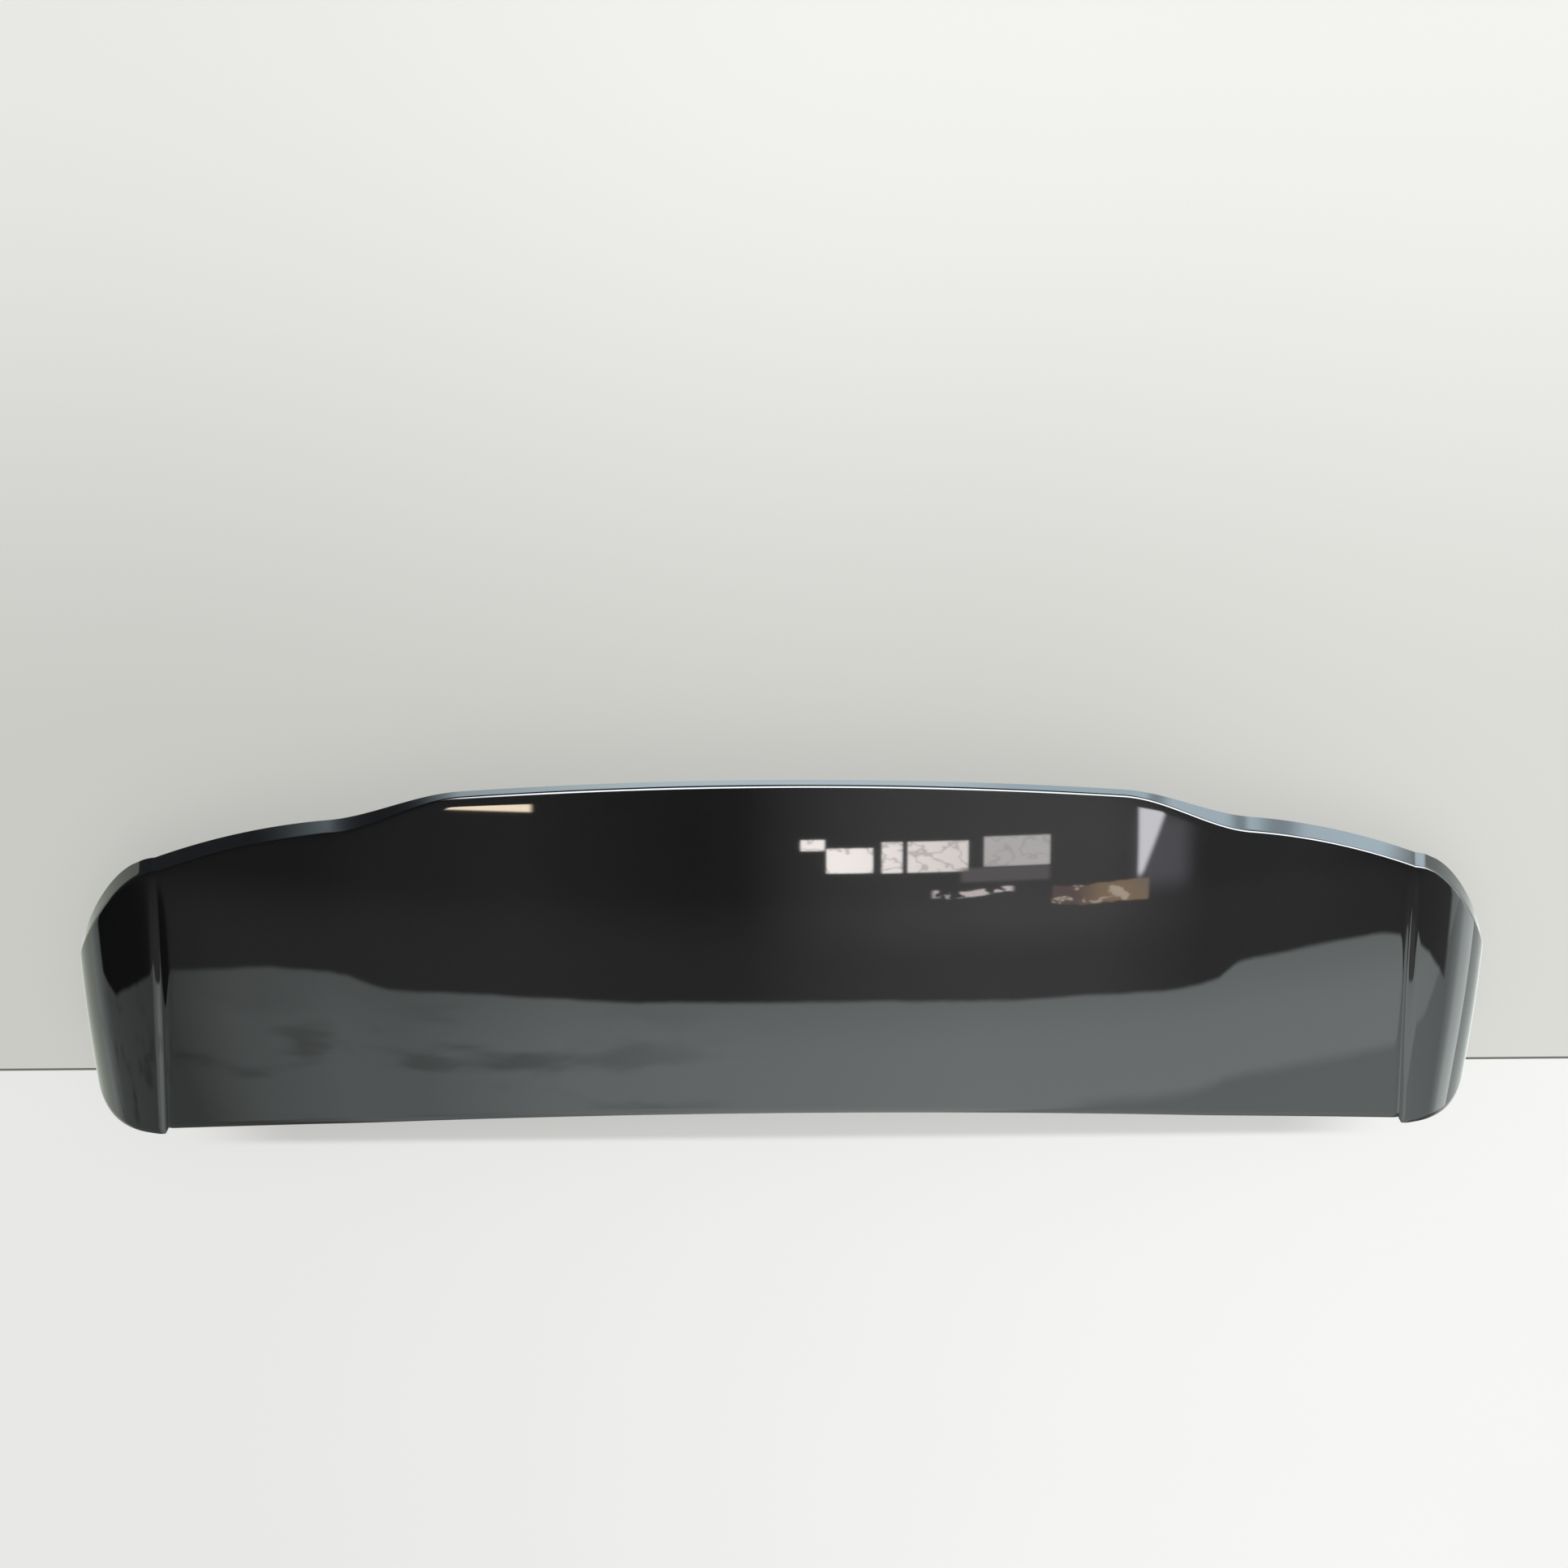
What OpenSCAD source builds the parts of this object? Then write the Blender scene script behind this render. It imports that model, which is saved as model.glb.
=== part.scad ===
// Roof spoiler for the upper edge of a tailgate.
// X runs across the car, Y towards the trailing edge, Z up.
// The ends stand on Z = 0, and the origin is under the middle of the whole part.
// Inside the shapes Y is counted from the middle of the leading edge.

/* [Panel] */
// distance across both ends at the widest place
overall_w = 1272; // [1256:2:1296]
// height of the leading edge above the lower edges, at the middle
lead_h = 124; // [118:1:130]
// fore and aft length at the middle, leading edge to trailing crease
middle_len = 289.2; // [282:0.2:296]
// wall of the painted skin
skin_t = 3; // [2.5:0.1:3.5]
// fall of the crown half a metre out from the middle
crown_fall = 29.5; // [26:0.5:33]
// downward slope at the leading edge, mm per 100 mm
slope_fall = 5.2; // [4:0.1:6.5]
// extra fall by bending, 100 mm behind the leading edge
bend_fall = 3; // [2:0.1:4]
// how far the leading edge runs forward half a metre out
lead_bow = 30.5; // [26:0.5:34]
// how far the trailing crease runs forward half a metre out
trail_bow = 39.6; // [36:0.2:43]

/* [Shoulders] */
// half width of the raised centre, where each shoulder starts
shoulder_x = 275; // [265:1:285]
// width of each shoulder curve
shoulder_w = 112; // [100:1:124]
// step of the trailing crease over a shoulder
shoulder_step = 22; // [16:0.5:26]
// where the wing folds down from the centre
fold_x = 374; // [364:1:384]
// fall over 100 mm beyond the fold
fold_rate = 3; // [1:0.5:5]
// half length over which the fold is rounded
fold_soft = 10; // [6:1:16]

/* [Rear face] */
// height of the rear face at the middle
rear_mid_h = 6; // [5:0.1:8]
// height of the rear face at the wings
rear_wing_h = 11.8; // [10:0.1:15]
// how far the rear face leans back at the middle
rear_mid_lean = 4.8; // [3:0.1:6]
// how far the rear face leans back at the wings
rear_wing_lean = 9.9; // [7:0.1:11]
// rounding of the trailing crease
crease_r = 2; // [1.5:0.1:3]

/* [Ends] */
// distance from the middle to the ditch, at the leading edge
ditch_x = 556; // [548:1:562]
// how far the ditch runs inwards towards the rear
ditch_in = 17; // [10:1:20]
// depth of the ditch
ditch_d = 1.3; // [0.6:0.1:1.8]
// half width of the ditch
ditch_w = 4; // [3:0.5:6]
// how far the end stands forward of the ditch
end_step = 6.5; // [4:0.5:8]
// power of the round that rolls over the end, 2 is an ellipse
roll_power = 2.5; // [2.2:0.1:3]
// place of the front of the lower edge at the side
side_front_y = 20; // [10:1:30]
// place of the back of the trailing crease at the side
side_back_y = 103; // [97:1:110]
// sudden part of the turn of the trailing crease into the side
corner_cut = 24.5; // [20:0.5:32]
// how far the rear face leans back at the side
side_lean = 3.5; // [2:0.1:7]

/* [Inner panel] */
// wall of the inner panel
panel_t = 2.5; // [2:0.1:3]
// half length of the inner panel
panel_half_w = 528; // [518:1:534]
// depth of the hollow between skin and inner panel
hollow_d = 14; // [10:0.5:18]
// distance between skin and inner panel at the bonded rim
bond_gap = 1.6; // [1.3:0.1:2.2]
// width of the bonded rim
rim_w = 14; // [12:0.5:16]
// rim's distance from the edges of the skin
rim_in = 14; // [12:0.5:16]

/* [Fixings] */
// distance between the stud pairs across the car
stud_span_x = 720; // [700:2:740]
// distance between the studs of a pair
stud_span_y = 80; // [72:1:88]
// place of the middle of the stud pattern behind the leading edge
stud_mid_y = 85; // [78:1:92]
// distance of the stud faces below the top of the leading edge
stud_drop = 56; // [54:1:60]
// radius of the stud's thread
stud_r = 3; // [2.5:0.5:4]
// free length of the stud
stud_len = 24; // [18:1:28]
// radius of the stud's collar
collar_r = 8; // [7:0.5:9]
// thickness of the stud's collar
collar_t = 1.6; // [1.2:0.1:2.2]
// radius of each stud boss
boss_r = 13; // [12:0.5:15]
// thickness of the foam ring round each stud
gasket_t = 5; // [3:0.5:7]
// radius of the foam ring
gasket_r = 16; // [14:0.5:18]
// clearance between seated pieces
seat = 0.3; // [0.25:0.05:0.4]

/* [Pins and clips] */
// place of each moulded locating pin across the car
pin_x = 200; // [185:1:215]
// place of the locating pins behind the leading edge
pin_y = 85; // [76:1:94]
// radius of the locating pins
pin_r = 4; // [3:0.25:5]
// length of the locating pins
pin_len = 14; // [10:1:18]
// place of the middle clips across the car
clip_in_x = 110; // [100:1:120]
// distance of the outer clips from the ends of the inner panel
clip_end = 58; // [50:1:66]
// place of the clips behind the leading edge of the panel there
clip_back = 62; // [56:1:68]
// radius of a clip's stem
clip_r = 3; // [2.5:0.25:3.5]
// length of a clip's stem
clip_len = 14; // [12:1:18]

/* [Seal] */
// width of the lip under the leading edge
seal_w = 8; // [6:0.5:9]
// thickness of the lip
seal_t = 4; // [3:0.5:5]
// distance of the lip from the leading edge
seal_in = 1.5; // [1:0.25:3]
// half length of the lip
seal_half_w = 544; // [532:1:545]

/* [Hidden] */
$fn = 48;

half_w = overall_w / 2;
roll_w = half_w - ditch_x;
rate_len = 100;
bow_len = 500;
wing_lap = 2;
wing_x = shoulder_x + shoulder_w - wing_lap;
wing_sweep = 7.4;
run_from_x = 400;
run_over = 150;
run_front = 42;
run_len = 227;
run_power = 1.45;
edge_soft = 3;
fade_from_y = 120;
fade_len = 90;
end_flare = 2.6;
flare_from_y = 22;
lead_turn = 1.3;
trail_turn = 2.95;
paint = [0.16, 0.2, 0.25];
moulded = [0.07, 0.07, 0.075];
foam = [0.13, 0.13, 0.14];
steel = [0.62, 0.62, 0.64];
glue = [0.25, 0.25, 0.26];
nylon = [0.8, 0.79, 0.74];

// an even step from 0 to 1
function step(t) = let (c = min(max(t, 0), 1)) c * c * (3 - 2 * c);
function unit(v) = v / norm(v);

// plan shape of the edges
function fold_drop(x) = fold_rate / rate_len * fold_soft
    * ln(1 + exp((x - fold_x) / fold_soft));
function crown(x, y) = lead_h - slope_fall * y / rate_len
    - bend_fall * pow(y / rate_len, 2) - crown_fall * pow(x / bow_len, 2) - fold_drop(x);
function end_part(x) = min(max((x - ditch_x) / roll_w, 0), 1);
function end_cos(x) = sqrt(max(0, 1 - pow(end_part(x), roll_power)));
function end_sin(x) = pow(end_part(x), roll_power / 2);
function past_ditch(x) = step((x - ditch_x) / edge_soft + 0.5);

function lead_in(x) = -lead_bow * pow(min(x, ditch_x) / bow_len, 2);
function lead_y(x) = let (a = lead_in(x) - end_step * past_ditch(x))
    a + (side_front_y - a) * pow(1 - end_cos(x), lead_turn);
function trail_at(x) = middle_len - trail_bow * pow(x / bow_len, 2)
    - shoulder_step * step((x - shoulder_x) / shoulder_w)
    - wing_sweep * pow(max(0, x - wing_x) / rate_len, 2);
function trail_in(x) = trail_at(min(x, ditch_x)
    - ditch_in * step((x - run_from_x) / run_over));
function corner_turn(x) = corner_cut * end_sin(x)
    + (trail_in(x) - corner_cut - side_back_y) * (1 - pow(end_cos(x), trail_turn));
function trail_y(x) = trail_in(x) - corner_turn(x);

// the painted surface over a place x from the middle and y along the car
function run_most(y) = ditch_in
    * (1 - pow(1 - min(max((y + run_front) / run_len, 0), 1), run_power));
function run_in(x, y) = run_most(y) * step((x - run_from_x) / run_over)
    * (1 - step((x - ditch_x) / roll_w));
function flare(x, y) = end_flare * pow(max(0, y - flare_from_y) / rate_len, 2)
    * step((x - ditch_x) / roll_w);
function groove(x, y) = ditch_d * exp(-pow((x - ditch_x) / ditch_w, 2))
    * (1 - step((y - fade_from_y) / fade_len));
function roll_drop(x, y) = crown(half_w, y)
    * (1 - pow(max(0, 1 - pow(end_part(x), roll_power)), 1 / roll_power));
function on_top(x, y) = let (in = x - run_in(x, y)) [in - flare(x, y), y,
    crown(in, y) - roll_drop(x, y) - groove(x, y)];
function at_part(x, q) = on_top(x, lead_y(x) + q * (trail_y(x) - lead_y(x)));

// the rear face, from the trailing crease (t = 0) to its lower edge (t = 1)
function crease(x) = on_top(x, trail_y(x));
function crease_dir(x) = let (a = max(x - 0.2, 0), b = min(a + 0.4, half_w))
    unit(crease(b) - crease(b - 0.4));
function rear_dir(x) = let (d = crease_dir(x), s = step((x - shoulder_x) / shoulder_w),
    lean = rear_mid_lean + (rear_wing_lean - rear_mid_lean) * s,
    side = pow(end_part(x), 2), p = unit([-d[1], d[0]]),
    tall = rear_mid_h + (rear_wing_h - rear_mid_h) * s)
    [p[0] * lean * (1 - side), p[1] * lean * (1 - side) + side_lean * side,
    -min(tall, crease(x)[2])];
function at_rear(x, t) = crease(x) + rear_dir(x) * t;

// outward normals
function top_normal(x, q) = let (a = min(max(x, 0.3), half_w - 0.05),
    u = at_part(a + 0.05, q) - at_part(a - 0.25, q),
    v = at_part(a, min(q + 0.01, 1)) - at_part(a, max(q - 0.01, 0))) unit(cross(u, v));
function rear_normal(x) = unit(cross(crease_dir(x), rear_dir(x)));
function crease_normal(x) = let (a = top_normal(x, 1), b = rear_normal(x))
    (a + b) / (1 + a * b);

// rows of the skin from the leading edge over the crease and down the rear face
top_rows = [0, 0.02, 0.07, 0.14, 0.24, 0.34, 0.44, 0.54, 0.64, 0.74, 0.83, 0.91, 0.96];
row_count = len(top_rows) + 5;
function crease_back(x) = 1 - crease_r / (trail_y(x) - lead_y(x));
function crease_down(x) = min(0.4, crease_r / norm(rear_dir(x)));
function skin_row(x, i) = i < len(top_rows) ? at_part(x, top_rows[i])
    : i == len(top_rows) ? at_part(x, crease_back(x))
    : i == len(top_rows) + 1 ? (at_part(x, crease_back(x)) + 2 * crease(x)
        + at_rear(x, crease_down(x))) / 4
    : i == len(top_rows) + 2 ? at_rear(x, crease_down(x))
    : i == len(top_rows) + 3 ? at_rear(x, 0.7)
    : at_rear(x, 1);
function skin_normal(x, i) = i < len(top_rows) ? top_normal(x, top_rows[i])
    : i == len(top_rows) ? (top_normal(x, 1) * 3 + crease_normal(x)) / 4
    : i == len(top_rows) + 1 ? crease_normal(x)
    : rear_normal(x);
function level_in(p, n) = let (h = n[0] * n[0] + n[1] * n[1])
    [p[0] - skin_t * n[0] / h, p[1] - skin_t * n[1] / h, p[2]];
function inner_row(x, i) = let (p = skin_row(x, i), n = skin_normal(x, i),
    m = p - skin_t * n)
    (x >= half_w - 0.001) ? [p[0] - skin_t, p[1], p[2]]
    : i == row_count - 1 ? level_in(p, n) : m;
function flip(p) = [-p[0], p[1], p[2]];

// places of the columns from the middle to the end
side_lap = 9;
ditch_lap = 14;
half_cols = concat([for (k = [0 : 6]) k * (shoulder_x - side_lap) / 7],
    [for (k = [0 : 12]) shoulder_x - side_lap + k * (shoulder_w + 2 * side_lap) / 12],
    [for (k = [1 : 6]) wing_x + ditch_lap + k * (ditch_x - wing_x - 2 * ditch_lap) / 6],
    [for (d = [-2, -1, -0.4, 0, 0.4, 1, 2]) ditch_x + d * ditch_w],
    [for (t = [0.2, 0.32, 0.44, 0.55, 0.65, 0.74, 0.82, 0.885, 0.935, 0.97, 0.99, 1])
        ditch_x + t * roll_w]);
col_count = 2 * len(half_cols) - 1;
function col_x(c) = half_cols[abs(c - len(half_cols) + 1)];
function col_side(c) = c < len(half_cols) - 1 ? -1 : 1;
function place(c, p) = col_side(c) < 0 ? flip(p) : p;
function cols_to(w) = concat([for (x = half_cols) if (x < w - 1) x], [w]);

// a closed shell from a ring of points at each column
module skin_shell() {
    ring = 2 * row_count;
    half_rings = [for (x = half_cols) concat(
        [for (i = [0 : row_count - 1]) skin_row(x, i)],
        [for (i = [row_count - 1 : -1 : 0]) inner_row(x, i)])];
    pts = [for (c = [0 : col_count - 1])
        for (p = half_rings[abs(c - len(half_cols) + 1)]) place(c, p)];
    walls = [for (c = [0 : col_count - 2]) for (i = [0 : ring - 1])
        let (j = (i + 1) % ring, a = c * ring, b = a + ring)
        each [[a + i, a + j, b + j], [a + i, b + j, b + i]]];
    last = (col_count - 1) * ring;
    caps = [for (i = [0 : row_count - 2])
        let (o = i, p = i + 1, u = ring - 1 - i, v = ring - 2 - i)
        each [[o, u, v], [o, v, p],
            [last + o, last + v, last + u], [last + o, last + p, last + v]]];
    polyhedron(points = pts, faces = concat(walls, caps), convexity = 12);
}

// height of the skin's underside, and the inner panel hung below it
ramp = 18;
ramp_end = 24;
function skin_col(x, y) = x + run_most(y);
function under_skin(x, y) = let (c = skin_col(x, y)) crown(x, y)
    - roll_drop(c + skin_t, y) - groove(c, y) - skin_t * 1.035;
function rim_front(x) = lead_y(x) + rim_in;
function rim_back(x) = trail_at(x) - corner_turn(x + ditch_in) - rim_in;
function hollow(x, y) = hollow_d * step((y - rim_front(x) - rim_w) / ramp)
    * step((rim_back(x) - rim_w - y) / ramp)
    * step((panel_half_w - rim_w - x) / ramp_end);
function panel_top(x, y) = under_skin(x, y) - bond_gap - hollow(x, y);

// a closed sheet between rows of y at columns of x, top and bottom heights
module sheet(cols, row_n) {
    half = [for (x = cols) concat(
        [for (i = [0 : row_n - 1]) panel_pt(x, i, 0)],
        [for (i = [row_n - 1 : -1 : 0]) panel_pt(x, i, panel_t)])];
    n = 2 * len(cols) - 1;
    ring = 2 * row_n;
    pts = [for (c = [0 : n - 1]) for (p = half[abs(c - len(cols) + 1)])
        c < len(cols) - 1 ? flip(p) : p];
    walls = [for (c = [0 : n - 2]) for (i = [0 : ring - 1])
        let (j = (i + 1) % ring, a = c * ring, b = a + ring)
        each [[a + i, a + j, b + j], [a + i, b + j, b + i]]];
    last = (n - 1) * ring;
    caps = [for (i = [0 : row_n - 2])
        let (o = i, p = i + 1, u = ring - 1 - i, v = ring - 2 - i)
        each [[o, u, v], [o, v, p],
            [last + o, last + v, last + u], [last + o, last + p, last + v]]];
    polyhedron(points = pts, faces = concat(walls, caps), convexity = 8);
}

panel_rows = 13;
function panel_y(x, i) = let (f = rim_front(x), b = rim_back(x),
    m0 = f + rim_w + ramp, m1 = b - rim_w - ramp)
    i == 0 ? f : i < 4 ? f + rim_w + (i - 1) / 3 * ramp
    : i < 9 ? m0 + (i - 4) / 4 * (m1 - m0)
    : i < 12 ? m1 + (i - 8) / 3 * ramp : b;
function panel_pt(x, i, d) = let (y = panel_y(x, i)) [x, y, panel_top(x, y) - d];

// a strip that follows an edge, its place and height given per column
module strip(pts_half) {
    k = len(pts_half);
    n = 2 * k - 1;
    pts = [for (c = [0 : n - 1]) for (p = pts_half[abs(c - k + 1)])
        c < k - 1 ? flip(p) : p];
    walls = [for (c = [0 : n - 2]) for (i = [0 : 3])
        let (j = (i + 1) % 4, a = c * 4, b = a + 4)
        each [[a + i, a + j, b + j], [a + i, b + j, b + i]]];
    last = (n - 1) * 4;
    caps = [[0, 3, 2], [0, 2, 1], [last, last + 2, last + 3], [last, last + 1, last + 2]];
    polyhedron(points = pts, faces = concat(walls, caps), convexity = 6);
}
function strip_ring(x, ya, yb, down, t) = [
    [x, ya, under_skin(x, ya) - down], [x, yb, under_skin(x, yb) - down],
    [x, yb, under_skin(x, yb) - down - t], [x, ya, under_skin(x, ya) - down - t]];

// the middle of the part, front to back, and the move that puts it on Y = 0
front_most = min([for (x = half_cols) lead_y(x)]);
middle_y = (front_most + middle_len + rear_mid_lean) / 2;
module placed() {
    translate([0, -middle_y, 0])
        children();
}

module outer_skin() {
    color(paint)
    placed()
    skin_shell();
}

// moulded boss that ends in a level face, with the hole for a stud's shank
stud_face_z = lead_h - stud_drop;
shank_r = stud_r + 0.6;
shank_len = 6;
tip = 1;
function place_z(x, y) = panel_top(abs(x), y) - panel_t / 2;
clip_out_x = panel_half_w - clip_end;
clip_y_in = lead_in(clip_in_x) + clip_back;
clip_y_out = lead_in(clip_out_x) + clip_back;
clip_face = 4;
clip_boss_r = 9;
pin_face = 3;
pin_boss_r = 9;
function low_z(x, y, r) = panel_top(x + r, y + r) - panel_t;
clip_in_z = low_z(clip_in_x, clip_y_in, clip_boss_r) - clip_face;
clip_out_z = low_z(clip_out_x, clip_y_out, clip_boss_r) - clip_face;
pin_z = low_z(pin_x, pin_y, pin_boss_r) - pin_face;
function stud_place(k) = [(k % 2 == 1 ? -1 : 1) * stud_span_x / 2,
    stud_mid_y + (k < 3 ? -1 : 1) * stud_span_y / 2];

module boss(x, y, face_z, r) {
    translate([x, y, face_z])
        cylinder(h = place_z(x, y) - face_z, r = r);
}

module inner_panel() {
    color(moulded)
    placed()
    difference() {
        union() {
            sheet(cols_to(panel_half_w), panel_rows);
            for (k = [1 : 4])
                boss(stud_place(k)[0], stud_place(k)[1], stud_face_z, boss_r);
            for (s = [-1, 1]) {
                boss(s * pin_x, pin_y, pin_z, pin_boss_r);
                translate([s * pin_x, pin_y, pin_z - pin_len + tip])
                    cylinder(h = pin_len, r = pin_r);
                translate([s * pin_x, pin_y, pin_z - pin_len])
                    cylinder(h = tip, r1 = pin_r - tip, r2 = pin_r);
                boss(s * clip_in_x, clip_y_in, clip_in_z, clip_boss_r);
                boss(s * clip_out_x, clip_y_out, clip_out_z, clip_boss_r);
            }
        }
        for (k = [1 : 4])
            translate([stud_place(k)[0], stud_place(k)[1], stud_face_z - 1])
                cylinder(h = shank_len + seat + 1, r = shank_r + seat);
        for (s = [-1, 1]) {
            translate([s * clip_in_x, clip_y_in, clip_in_z - 1])
                cylinder(h = clip_hold + seat + 1, r = clip_r + seat);
            translate([s * clip_out_x, clip_y_out, clip_out_z - 1])
                cylinder(h = clip_hold + seat + 1, r = clip_r + seat);
        }
    }
}

// beads between the rims of the skin and the inner panel
bead_clear = 0.25;
bead_out = 2;
bead_in = 3;
bead_end = 4;
bead_t = bond_gap - 2 * bead_clear;
module front_bond_bead() {
    color(glue)
    placed()
    strip([for (x = cols_to(panel_half_w - bead_end)) strip_ring(x,
        rim_front(x) + bead_out, rim_front(x) + rim_w - bead_in, bead_clear, bead_t)]);
}

module rear_bond_bead() {
    color(glue)
    placed()
    strip([for (x = cols_to(panel_half_w - bead_end)) strip_ring(x,
        rim_back(x) - rim_w + bead_in, rim_back(x) - bead_out, bead_clear, bead_t)]);
}

module front_seal() {
    color(foam)
    placed()
    strip([for (x = cols_to(seal_half_w)) strip_ring(x, lead_y(x) + seal_in,
        lead_y(x) + seal_in + seal_w, seat, seal_t)]);
}

module stud(k) {
    p = stud_place(k);
    color(steel)
    placed()
    translate([p[0], p[1], stud_face_z])
        rotate_extrude()
        polygon([[0, shank_len], [shank_r, shank_len], [shank_r, 0],
            [collar_r, 0], [collar_r, -collar_t], [stud_r, -collar_t],
            [stud_r, -stud_len + tip], [stud_r - tip, -stud_len], [0, -stud_len]]);
}
module fixing_stud_1() { stud(1); }
module fixing_stud_2() { stud(2); }
module fixing_stud_3() { stud(3); }
module fixing_stud_4() { stud(4); }

ring_gap = 1;
module gasket(k) {
    p = stud_place(k);
    color(foam)
    placed()
    translate([p[0], p[1], stud_face_z - gasket_t])
        difference() {
            cylinder(h = gasket_t, r = gasket_r);
            translate([0, 0, -1])
                cylinder(h = gasket_t + 2, r = collar_r + ring_gap);
        }
}
module stud_gasket_1() { gasket(1); }
module stud_gasket_2() { gasket(2); }
module stud_gasket_3() { gasket(3); }
module stud_gasket_4() { gasket(4); }

// push-in clip with a waisted, pointed nose
clip_hold = 3;
head_w = 5;
head_t = 1.8;
barb_w = 1.6;
barb_len = 2.5;
module clip(x, y, z) {
    color(nylon)
    placed()
    translate([x, y, z])
        rotate_extrude()
        polygon([[0, clip_hold], [clip_r, clip_hold], [clip_r, 0],
            [clip_r + 0.9 * head_w, 0], [clip_r + head_w, -head_t], [clip_r, -head_t],
            [clip_r, -clip_len / 2], [clip_r + barb_w, -clip_len / 2 - barb_len],
            [clip_r * 0.4, -clip_len], [0, -clip_len]]);
}
module edge_clip_1() { clip(-clip_out_x, clip_y_out, clip_out_z); }
module edge_clip_2() { clip(-clip_in_x, clip_y_in, clip_in_z); }
module edge_clip_3() { clip(clip_in_x, clip_y_in, clip_in_z); }
module edge_clip_4() { clip(clip_out_x, clip_y_out, clip_out_z); }

outer_skin();
inner_panel();
front_bond_bead();
rear_bond_bead();
front_seal();
fixing_stud_1();
fixing_stud_2();
fixing_stud_3();
fixing_stud_4();
stud_gasket_1();
stud_gasket_2();
stud_gasket_3();
stud_gasket_4();
edge_clip_1();
edge_clip_2();
edge_clip_3();
edge_clip_4();
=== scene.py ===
"""A painted tailgate spoiler with its inner panel, fixings and stage."""
import math

import bpy
import numpy as np
from mathutils import Matrix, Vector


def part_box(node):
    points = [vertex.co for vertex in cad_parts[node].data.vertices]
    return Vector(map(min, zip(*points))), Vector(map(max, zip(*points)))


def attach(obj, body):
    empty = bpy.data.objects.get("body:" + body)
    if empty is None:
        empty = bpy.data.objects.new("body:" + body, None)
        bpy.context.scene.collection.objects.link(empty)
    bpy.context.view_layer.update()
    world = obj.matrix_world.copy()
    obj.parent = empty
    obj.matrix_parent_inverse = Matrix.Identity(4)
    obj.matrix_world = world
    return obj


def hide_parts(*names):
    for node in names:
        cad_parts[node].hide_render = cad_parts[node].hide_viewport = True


bl_info = {
    "name": "Tailgate Spoiler",
    "version": (1, 0, 0),
    "blender": (4, 5, 0),
    "location": "View3D > Sidebar > Spoiler",
    "description": "Builds a painted tailgate spoiler, its fixings and a plain stage",
    "category": "Add Mesh",
}

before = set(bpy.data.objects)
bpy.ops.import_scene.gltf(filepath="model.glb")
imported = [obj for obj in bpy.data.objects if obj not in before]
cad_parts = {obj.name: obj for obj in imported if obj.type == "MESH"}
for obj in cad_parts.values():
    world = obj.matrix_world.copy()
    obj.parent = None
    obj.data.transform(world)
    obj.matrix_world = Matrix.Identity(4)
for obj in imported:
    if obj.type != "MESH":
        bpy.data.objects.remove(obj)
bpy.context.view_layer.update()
SKIN_LOW, SKIN_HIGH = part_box("outer_skin")
STUDS = [f"fixing_stud_{k}" for k in range(1, 5)]
GASKETS = [f"stud_gasket_{k}" for k in range(1, 5)]
CLIPS = [f"edge_clip_{k}" for k in range(1, 5)]
BEADS = ["front_bond_bead", "rear_bond_bead"]

# Falls and sweeps are given over 100 mm, crowns and bows half a metre out.
RATE_LEN = 0.1
BOW_LEN = 0.5

# The photograph's camera, fitted to the outline: pixels, place and directions.
PHOTO_PIXELS = 1932.0
FOCAL_PIXELS = 1937.0
CAMERA_PLACE = (-0.043158, 0.653889, 1.276775)
CAMERA_RIGHT = (0.99962458, 0.00748625, 0.02635639)
CAMERA_UP = (0.00302589, 0.92590026, -0.37775595)
CAMERA_BACK = (-0.02723136, 0.37769388, 0.92553)


def length(name, text, default):
    """A length in metres for a property group."""
    return bpy.props.FloatProperty(name=name, description=text, default=default,
                                   unit="LENGTH", subtype="DISTANCE", precision=5)


def factor(name, text, default):
    """A bare number from 0 to 1 for a property group."""
    return bpy.props.FloatProperty(name=name, description=text, default=default,
                                   min=0, max=1, subtype="FACTOR")


def colour(name, text, default):
    """A linear colour for a property group."""
    return bpy.props.FloatVectorProperty(name=name, description=text, default=default,
                                         size=3, min=0, subtype="COLOR")


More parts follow.
